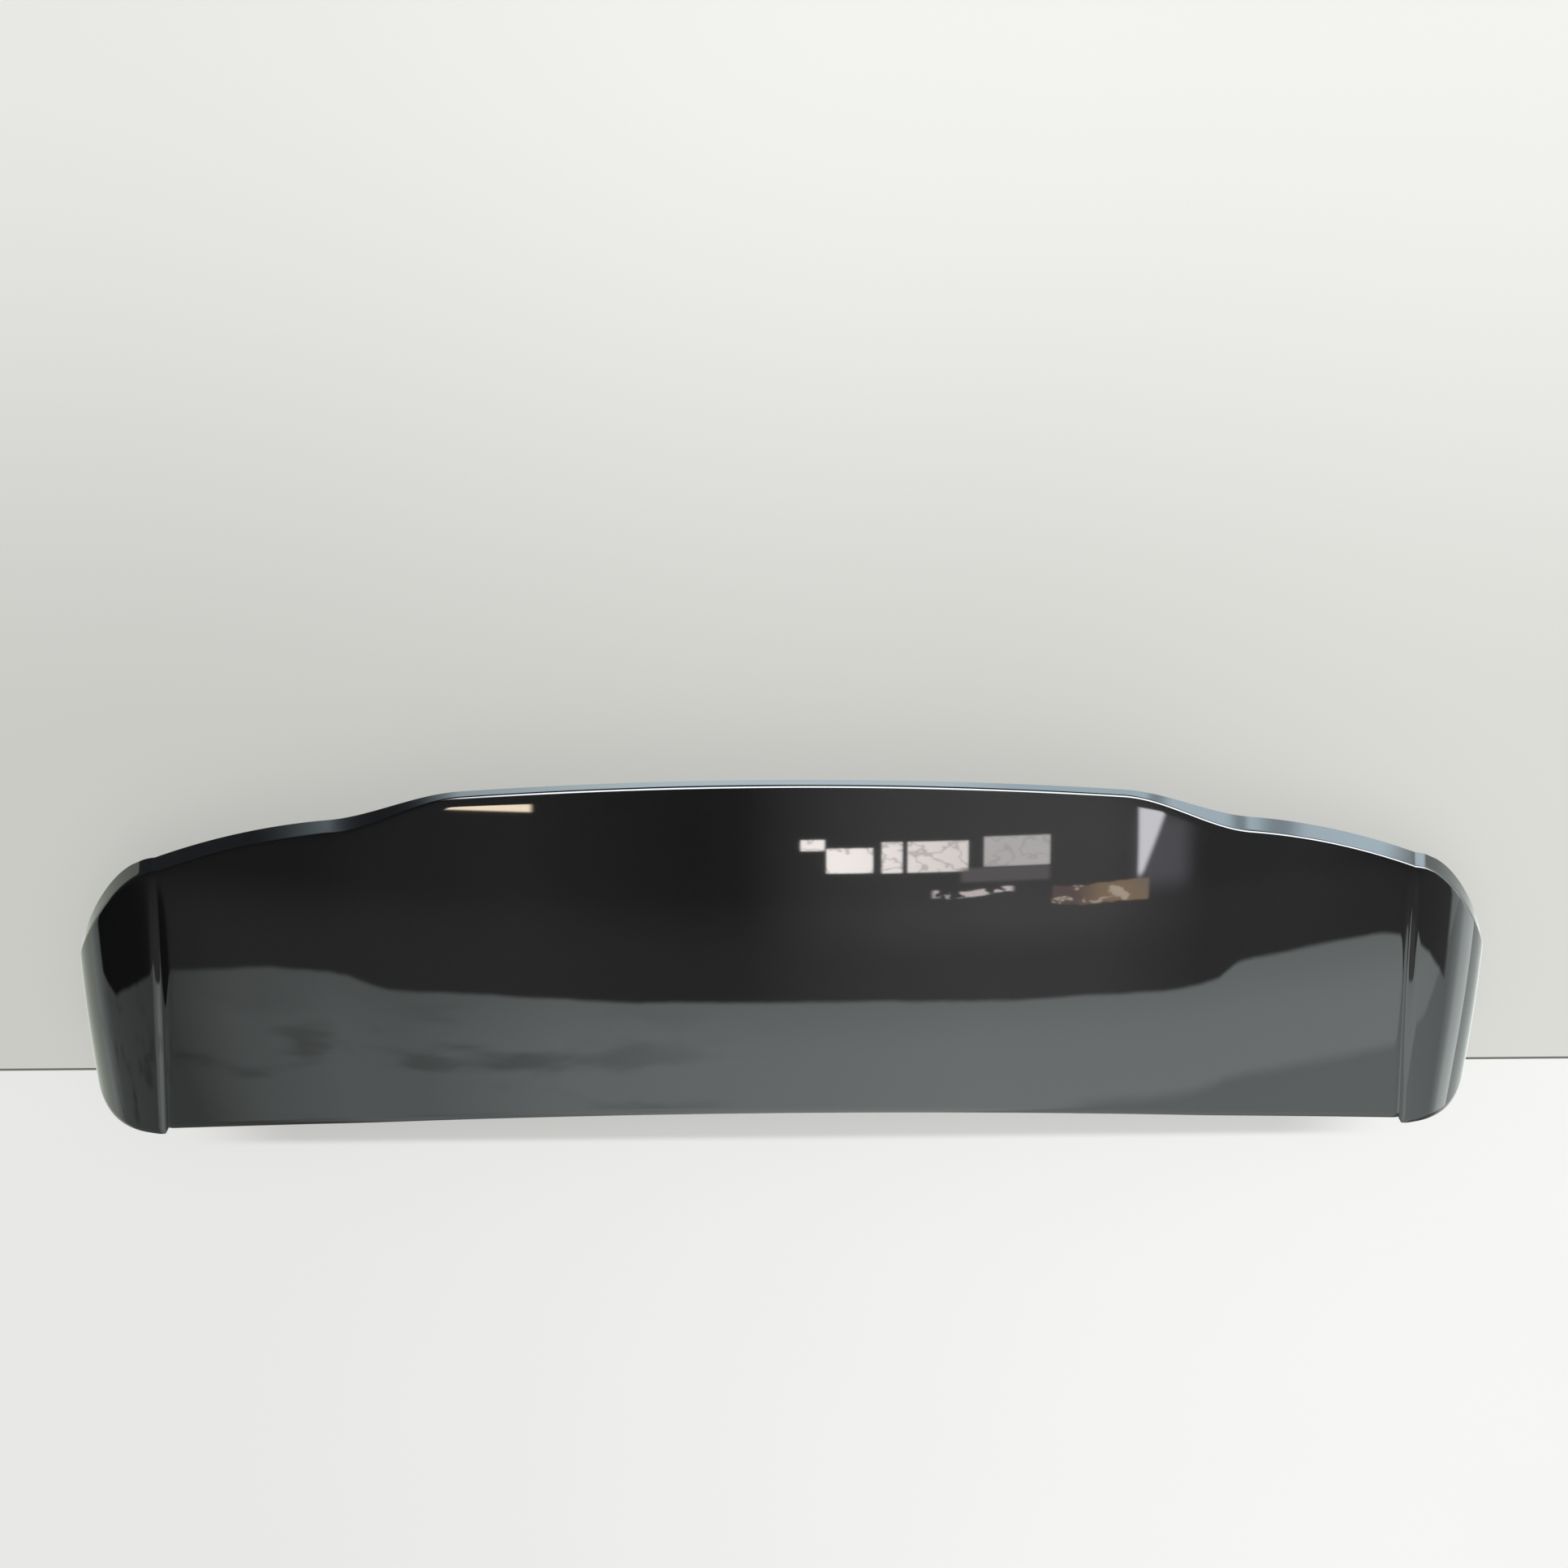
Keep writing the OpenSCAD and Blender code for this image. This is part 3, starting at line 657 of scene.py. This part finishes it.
def skin_mesh(sizes, materials):
    """A closed shell: painted side, round edges and bare side, mirrored about x = 0."""
    shape = SkinShape(sizes)
    x = shape.columns()
    outer = shape.sheet(x, 0.0, sizes.crease_r, sizes.edge_r)
    inner = shape.sheet(x, sizes.skin_t, sizes.skin_t + sizes.crease_r, sizes.edge_r)
    rear = rounded_edge(outer[:, -1], inner[:, -1],
                        unit(outer[:, -1] - outer[:, -2]), sizes.edge_r)
    lead = rounded_edge(inner[:, 0], outer[:, 0],
                        unit(outer[:, 0] - outer[:, 1]), sizes.edge_r)
    ring = np.concatenate([outer, rear, inner[:, ::-1], lead], axis=1)
    ring[..., 1] += SKIN_LOW.y - shape.lead_y(x).min()
    ring[..., 2] = np.maximum(ring[..., 2], 0)
    whole = np.concatenate([ring[:0:-1] * (-1, 1, 1), ring])
    columns, count = whole.shape[:2]
    quads = grid_quads(columns, count)
    rows = outer.shape[1]

    # each end closes with a strip of quads between the two sides and a tip at either edge
    first = np.r_[count - 1, np.arange(rows + 1)]
    second = np.r_[count - 3, np.arange(count - 4, rows + 1, -1)]
    cap = np.stack([first[:-1], first[1:], second[1:], second[:-1]], -1)
    tips = np.array([[count - 2, first[0], second[0]], [rows + 1, second[-1], first[-1]]])
    last = (columns - 1) * count
    quads = np.concatenate([quads, cap, cap[:, ::-1] + last])
    triangles = np.concatenate([tips, tips[:, ::-1] + last])
    row = quads % count
    bare = (row.min(1) >= rows + 1) & (row.max(1) <= count - 2)
    slots = np.concatenate([bare, np.zeros(len(triangles), bool)])
    return mesh_object("painted_skin", whole.reshape(-1, 3), quads, materials,
                       triangles, slots, sharp=50)


STUD_COLUMNS = 56
ROWS_A_PITCH = 9
NOSE_THREAD = 0.3  # part of the thread's depth that is left at the nose


def stud_mesh(name, node, sizes, material):
    """A stud turned about its axis: shank, chamfered collar and a thread.

    The thread's radius falls by its depth and rises again once a pitch, and the
    wave climbs by one pitch for each turn.
    """
    low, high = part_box(node)
    axis_x, axis_y = (low.x + high.x) / 2, (low.y + high.y) / 2
    collar_r = (high.x - low.x) / 2
    shank_r, thread_r = collar_r * sizes.shank_part, collar_r * sizes.thread_part
    collar_top = high.z - sizes.above
    collar_low = collar_top - sizes.collar_t
    c = sizes.chamfer
    pole_r = c / 3
    turn = np.linspace(0, 2 * np.pi, STUD_COLUMNS, endpoint=False)
    body = np.array([(pole_r, high.z), (shank_r - c, high.z), (shank_r, high.z - c),
                     (shank_r, collar_top + c), (shank_r + c, collar_top),
                     (collar_r - c, collar_top), (collar_r, collar_top - c),
                     (collar_r, collar_low + c), (collar_r - c, collar_low),
                     (thread_r + c, collar_low)])
    z = np.arange(collar_low - c, low.z, -sizes.pitch / ROWS_A_PITCH)
    climb = z[:, None] / sizes.pitch + turn[None, :] / (2 * np.pi)
    wave = np.abs((climb % 1) * 2 - 1)
    nose = np.clip((z - low.z) / sizes.nose, 0, 1)[:, None]
    fade = ease((collar_low - z) / (2 * sizes.pitch))[:, None]
    depth = sizes.depth * (NOSE_THREAD + (1 - NOSE_THREAD) * nose)
    radius = thread_r - depth * ease(wave) * fade - (1 - nose) * sizes.nose
    radius = np.concatenate([np.repeat(body[:, :1], len(turn), 1), radius,
                             np.full((1, len(turn)), pole_r)])
    height = np.concatenate([body[:, 1], z, [low.z]])[:, None] + 0 * turn[None, :]
    points = np.stack([axis_x + radius * np.cos(turn), axis_y + radius * np.sin(turn),
                       height], -1)
    rows = len(points)
    quads = grid_quads(rows, len(turn))
    flat = points.reshape(-1, 3)
    ends = np.array([[axis_x, axis_y, high.z], [axis_x, axis_y, low.z]])
    j = np.arange(len(turn))
    k = (j + 1) % len(turn)
    last = (rows - 1) * len(turn)
    tips = np.concatenate([np.stack([j, k, 0 * j + len(flat)], -1),
                           np.stack([last + k, last + j, 0 * j + len(flat) + 1], -1)])
    return mesh_object(name, np.concatenate([flat, ends]), quads, [material], tips)


# Where shade is painted on the floor under the leading edge, in metres: the front
# and back border in y, each from and to, and both ends in x, with their softness.
PAINTED_SHADE_FRONT = (-0.241, -0.231)
PAINTED_SHADE_BACK = (-0.12, 0.0)
PAINTED_SHADE_ENDS = (-0.52, 0.53, 0.06)
JOINT_SOFT = 0.0004


def stage_material(look):
    """Two plain sheets that meet in a thin joint, see-through from below.

    The backdrop is painted darker near the part and paler with distance and to the
    right, and the floor paler to the right: painted light and shade. A painted shade
    darkens the band under the leading edge. Part of the tone is given back to the
    camera, so that shadows stay soft, but not in that band, where the cast shadow
    shows as well. The sheets glow for gloss alone, a painted reflection: grey near
    the part and pale beside it, brighter than white to the right.
    """
    material, graph, place = new_material("stage_sheets")
    x, y, _ = graph.parts(place)
    floor = 1 - y.ramp(look.seam_y - JOINT_SOFT, look.seam_y + JOINT_SOFT)
    joint = y.between(look.seam_y - look.joint_w / 2, look.seam_y + look.joint_w / 2,
                      JOINT_SOFT)
    # Painted light and shade: the backdrop darker near the part and paler far off and to
    # the right, the floor paler to the right.
    level = 0.9 + 0.1 * x.ramp(-0.6, 0.1)
    level = level + 0.08 * x.ramp(0.1, 0.65) * (1 - y.ramp(0.2, 0.7))
    wall_tone = graph.mix(y.ramp(0.16, 0.75), look.near_wall, look.far_wall)
    floor_tone = graph.dim(look.floor, 0.87 + 0.13 * x.ramp(-0.8, 0.7))
    tone = graph.mix(floor, graph.dim(wall_tone, level), floor_tone)
    tone = graph.mix(joint * 0.9, tone, look.joint)
    tone = graph.mix(graph.noise(place, 4, detail=3.0) * 0.03, tone, look.soil)
    # Painted shade: the floor's tone is dimmed in the band under the leading edge.
    painted_shade_band = (y.ramp(*PAINTED_SHADE_FRONT) * (1 - y.ramp(*PAINTED_SHADE_BACK))
              * x.between(*PAINTED_SHADE_ENDS))
    tone = graph.dim(tone, 1 - look.shade * painted_shade_band)
    # Painted reflection: mirrored rays see the sheets glow in set colours, not lit, grey
    # near the part and pale beside it, brighter than white to the right.
    beside = graph.mix(x.ramp(-0.62, 0.62), look.gloss_left, look.gloss_right)
    mirrored = graph.mix(x.between(-0.63, 0.63, 0.03), beside, look.gloss)

    diffuse = graph.value("ShaderNodeBsdfDiffuse", None, {"Color": tone})
    filled = graph.value("ShaderNodeEmission", None, {"Color": tone})
    bright = graph.value("ShaderNodeEmission", None, {"Color": mirrored})
    clear = graph.value("ShaderNodeBsdfTransparent")
    # The fill is taken out of that band too, so the cast shadow shows there as well.
    fill = graph.ray("Is Camera Ray") * look.fill * (1 - painted_shade_band)
    seen = graph.blend(fill, diffuse, filled)
    seen = graph.blend(graph.ray("Is Glossy Ray"), seen, bright)
    below = graph.value("ShaderNodeNewGeometry", output="Backfacing")
    graph.node("ShaderNodeOutputMaterial", None,
               {"Surface": graph.blend(below, seen, clear)})
    return material


# What gloss sees, listed by the lean to the side in degrees: the dark room's
# level, the ceiling panel's border in degrees of lift, and the panel's level.
ROOM_LEVEL = ((-80, 0.04), (-30, 0.1), (-14, 0.19), (-4, 0.11), (-1, 0.13), (4, 0.4),
              (8, 0.56), (14, 0.68), (20, 0.66), (26, 0.28), (34, 0.28), (41, 0.14),
              (60, 0.26))
PANEL_EDGE = ((-80, 18.3), (-65, 18.9), (-50, 16.8), (-32, 14.25), (-26, 14.7),
              (-22, 16), (-7, 17), (16, 17), (24, 16.2), (28, 15.3), (30, 14),
              (39, 12.15), (52, 15), (63, 18))
PANEL_LEVEL = ((-88, 1.1), (-72, 0.5), (-38, 0.45), (-34, 0.9), (-28, 1.15),
               (-21, 1.15), (-12, 1.65), (13, 2.1), (41, 2.0), (64, 1.5), (70, 2.2),
               (75, 3.6), (88, 4.5))
PANEL_TINT = (0.95, 1.02, 1.01)

# The window's panes over a shelf: side and front angles, each (low, high, soft).
PANES = (((2.3, 3.7, 0.1), (1.7, 2.7, 0.1)), ((3.8, 6.5, 0.08), (2.5, 4.8, 0.08)),
         ((7.0, 8.2, 0.08), (2.0, 4.85, 0.08)), ((8.5, 12.0, 0.08), (2.0, 4.85, 0.08)))

# A low bluish band beyond the trailing edge: its colours in the dark, in the middle,
# to the right and past the corner, the bearings in degrees between them, and a post
# in it (low, high, soft).
BAND_DARK, BAND_MIDDLE = (0.12, 0.13, 0.15), (5.7, 6.9, 7.4)
BAND_RIGHT, BAND_PAST = (4.4, 5.4, 6.0), (1.8, 2.0, 2.05)
BAND_IN, BAND_TURN, BAND_OUT = (-42, -2), (11, 17), (52, 58)
POST = (36, 41, 2)


class Studio:
    """Directions of mirrored rays, in degrees.

    side is the lean to the right of straight up, front the lean towards the leading
    edge, lift the angle towards the leading edge out of the cross plane, rise the
    angle above the floor, and bearing the way round from the trailing side. back is
    no angle: it runs from -1 towards the leading side to 1 towards the trailing side.
    """

    def __init__(self, graph):
        self.graph = graph
        self.way = graph.value("ShaderNodeTexCoord", output="Generated")
        x, y, z = graph.parts(self.way)
        degree = math.degrees(1)
        self.side = x.arctan2(z) * degree
        self.front = (-y).arctan2(z) * degree
        self.lift = (-y).arcsin() * degree
        self.rise = z.arcsin() * degree
        self.bearing = x.arctan2(y) * degree
        self.back = y
        self.wobble = graph.noise(self.way, 9, 4.0, 0.6) - 0.5

    def patch(self, side, front):
        """1 inside a range of side and of front angles, each (low, high, soft)."""
        return self.side.between(*side) * self.front.between(*front)


def dark_room(studio):
    """The dark room overhead, with some dim things in it."""
    graph, side, front = studio.graph, studio.side, studio.front
    cloud = graph.noise(studio.way, 3.5, 3.0, 0.55)
    low = front.ramp(6, 14) * side.ramp(-45, -33) * 0.17
    fade = (0.75 + 0.5 * cloud) * (1 - 0.5 * front.ramp(8, 14))
    room = graph.dim(graph.by_stops(side, ROOM_LEVEL, -90, 90), fade)
    return graph.vector("ADD", room, low)


def ceiling_panel(studio, tone):
    """A pale ceiling panel towards the leading edge, with a few faint patches."""
    graph, side, front = studio.graph, studio.side, studio.front
    border = [(at, lift / 90) for at, lift in PANEL_EDGE]
    edge = graph.by_stops(side, border, -90, 90) * 90
    panel = graph.by_stops(side, PANEL_LEVEL, -90, 90)
    patch = graph.noise(studio.way, 7, 3.0, squash=(1, 2.4, 1)).ramp(0.5, 0.68)
    patch = patch * studio.lift.ramp(15, 22) * (1 - side.ramp(-16, 4)) * 0.35
    strip = side.ramp(18, 22) * (front + studio.wobble * 1.5).ramp(27.6, 29.4) * 0.28
    level = (0.84 + 0.16 * front.ramp(15, 23)) * (1 - patch) * (1 - strip)
    panel = graph.dim(graph.vector("MULTIPLY", panel, PANEL_TINT), level)
    past = studio.lift - edge + studio.wobble * 0.8
    tone = graph.mix(past.ramp(-0.3, 0.3), tone, panel)
    return graph.mix(1 - side.between(-75.5, 61, 1.5), tone, panel)


def window_wall(studio, tone):
    """A barred window over a shelf, a narrow pane beside it and a strip lamp."""
    graph, side, front = studio.graph, studio.side, studio.front
    twigs = graph.noise(studio.way, 22, 3.0, 0.6) - 0.5
    twigs = 1 - (twigs * twigs).ramp(0.00004, 0.0006)
    grain = graph.noise(studio.way, 34, 3.0, 0.6)
    ragged = front + studio.wobble * 3.0

    glass = graph.mix(side.ramp(4, 12), (12.8, 12.0, 11.6), (9.6, 8.9, 8.6))
    glass = graph.mix(twigs * 0.5, glass, (3.5, 3.2, 3.3))
    dusk = graph.mix(twigs * 0.3, (5.9, 5.7, 5.6), (3.0, 2.9, 2.9))
    wide = studio.patch((12.9, 16.7, 0.08), (1.7, 4.5, 0.1))
    sill = studio.patch((11.6, 16.7, 0.2), (4.6, 5.9, 0.2))
    tone = graph.mix(sum(studio.patch(*pane) for pane in PANES), tone, glass)
    tone = graph.mix(wide, tone, dusk)
    tone = graph.mix(sill * 0.8, tone, (1.5, 1.4, 1.45))

    goods = graph.mix(side.ramp(18, 20), (1.35, 1.05, 1.0), (2.6, 1.9, 1.3))
    goods = graph.mix(grain.ramp(0.56, 0.6), goods, (5.0, 4.2, 3.3))
    shelf = side.between(16.9, 22.4, 0.1) * ragged.between(6.3, 8.4, 0.12)
    scrap = side.between(10, 14.6, 0.2) * ragged.between(6.5, 7.2, 0.1)
    tone = graph.mix(shelf, tone, goods)
    tone = graph.mix(scrap * grain.ramp(0.4, 0.46), tone, (7.0, 6.2, 6.2))

    halo = studio.patch((21.7, 24.6, 0.8), (0.5, 7.0, 1.5))
    narrow = side.ramp(21.6, 21.9) * (1 - (side + 0.22 * front).ramp(23.1, 23.5))
    lamp = studio.patch((-18.0, -13.2, 0.2), (-1.3, -0.6, 0.1))
    tone = graph.mix(halo * 0.5, tone, (1.6, 1.6, 1.8))
    tone = graph.mix(narrow * front.between(-0.6, 6.0, 0.5), tone, (8.0, 8.0, 8.4))
    return graph.mix(lamp, tone, (12.5, 10.5, 7.8))


def trailing_side(studio, tone):
    """Beyond the trailing edge a high bright band, and a low bluish one."""
    graph, bearing = studio.graph, studio.bearing
    across = bearing.ramp(-34, -20) * (1 - bearing.ramp(60, 75))
    high = studio.front.between(-58, -34, 1.5) * across
    tone = graph.mix(high, tone, (15.0, 16.0, 16.5))
    band = graph.mix(bearing.ramp(*BAND_IN), BAND_DARK, BAND_MIDDLE)
    band = graph.mix(bearing.ramp(*BAND_TURN), band, BAND_RIGHT)
    band = graph.dim(band, 1 - 0.45 * bearing.between(*POST))
    band = graph.mix(bearing.ramp(*BAND_OUT), band, BAND_PAST)
    low = studio.back.ramp(-0.02, 0.02) * (1 - studio.rise.ramp(9.5, 11.5))
    return graph.mix(low, tone, band)


def studio_world(look):
    """Even soft light for all but gloss, which sees the studio round the part.

    Low directions grow plainer, so that other views stay quiet.
    """
    world = bpy.data.worlds.new("soft_studio")
    bpy.context.scene.world = world
    graph = Graph(world)
    studio = Studio(graph)
    tone = dark_room(studio)
    for part in (ceiling_panel, window_wall, trailing_side):
        tone = part(studio, tone)
    quiet = (1 - studio.rise.ramp(14, 24)) * (1 - studio.back.ramp(-0.6, -0.46))
    tone = graph.mix(quiet, tone, (0.4, 0.42, 0.42))
    plain = graph.value("ShaderNodeBackground", None,
                        {"Color": (1, 1, 0.985), "Strength": look.light})
    mirrored = graph.value("ShaderNodeBackground", None, {"Color": tone})
    light = graph.blend(graph.ray("Is Glossy Ray"), plain, mirrored)
    graph.node("ShaderNodeOutputWorld", None, {"Surface": light})
    world.cycles.sampling_method = "NONE"


def studio_camera():
    """The photograph's camera: place, and its right, up and back directions."""
    data = bpy.data.cameras.new("studio_camera")
    data.sensor_width = 36.0
    data.lens = data.sensor_width * FOCAL_PIXELS / PHOTO_PIXELS
    data.clip_end = 50.0
    camera = bpy.data.objects.new("studio_camera", data)
    bpy.context.scene.collection.objects.link(camera)
    turn = Matrix((CAMERA_RIGHT, CAMERA_UP, CAMERA_BACK)).transposed().to_4x4()
    camera.matrix_world = Matrix.Translation(CAMERA_PLACE) @ turn
    bpy.context.scene.camera = camera


class SPOILER_OT_skin(bpy.types.Operator):
    """Builds the painted outer skin."""

    bl_idname = "spoiler.skin"
    bl_label = "Outer skin"

    def execute(self, context):
        looks = context.scene.spoiler_finishes
        piece = skin_mesh(context.scene.spoiler_skin,
                          [metallic_paint(looks), bare_plastic(looks)])
        replace_node(piece, "outer_skin")
        return {"FINISHED"}


class SPOILER_OT_studs(bpy.types.Operator):
    """Builds the four threaded studs."""

    bl_idname = "spoiler.studs"
    bl_label = "Threaded studs"

    def execute(self, context):
        steel = plated_steel(context.scene.spoiler_finishes)
        for k, node in enumerate(STUDS, 1):
            piece = stud_mesh(f"threaded_stud_{k}", node, context.scene.spoiler_studs,
                              steel)
            replace_node(piece, node)
        return {"FINISHED"}


class SPOILER_OT_carried(bpy.types.Operator):
    """Finishes the nodes whose shape is right: panel, beads, lip, rings and clips."""

    bl_idname = "spoiler.carried"
    bl_label = "Panel, beads, lip, rings and clips"

    def execute(self, context):
        looks = context.scene.spoiler_finishes
        dress(["inner_panel"], moulded_plastic(looks))
        dress(BEADS, adhesive(looks))
        dress(["front_seal"] + GASKETS, soft_rubber(looks))
        dress(CLIPS, clip_nylon(looks))
        return {"FINISHED"}


class SPOILER_OT_stage(bpy.types.Operator):
    """Lays the floor, lights it and sets the camera."""

    bl_idname = "spoiler.stage"
    bl_label = "Stage"

    def execute(self, context):
        look = context.scene.spoiler_stage
        corners = np.array([[-1, -1, 0], [1, -1, 0], [1, 1, 0], [-1, 1, 0]])
        floor = mesh_object("stage_floor", look.reach * corners,
                            np.array([[0, 1, 2, 3]]), [stage_material(look)])
        studio_world(look)
        studio_camera()
        context.scene.view_settings.view_transform = "Standard"
        return {"FINISHED"}


class SPOILER_PT_panel(bpy.types.Panel):
    """Lists the operators and sizes."""

    bl_label = "Tailgate Spoiler"
    bl_space_type = "VIEW_3D"
    bl_region_type = "UI"
    bl_category = "Spoiler"

    def draw(self, context):
        for operator in OPERATORS:
            self.layout.operator(operator.bl_idname)
        for group in GROUPS:
            sizes = getattr(context.scene, group)
            box = self.layout.box()
            for name in sizes.bl_rna.properties.keys():
                if name not in ("rna_type", "name"):
                    box.prop(sizes, name)


GROUPS = {"spoiler_skin": SkinSizes, "spoiler_studs": StudSizes,
          "spoiler_finishes": Finishes, "spoiler_stage": StageLook}
OPERATORS = (SPOILER_OT_skin, SPOILER_OT_studs, SPOILER_OT_carried, SPOILER_OT_stage)


def register():
    for group, kind in GROUPS.items():
        bpy.utils.register_class(kind)
        setattr(bpy.types.Scene, group, bpy.props.PointerProperty(type=kind))
    for kind in (*OPERATORS, SPOILER_PT_panel):
        bpy.utils.register_class(kind)


def unregister():
    for kind in (SPOILER_PT_panel, *reversed(OPERATORS)):
        bpy.utils.unregister_class(kind)
    for group, kind in GROUPS.items():
        delattr(bpy.types.Scene, group)
        bpy.utils.unregister_class(kind)


def main():
    register()
    bpy.ops.spoiler.skin()
    bpy.ops.spoiler.studs()
    bpy.ops.spoiler.carried()
    bpy.ops.spoiler.stage()


if __name__ == "__main__":
    main()
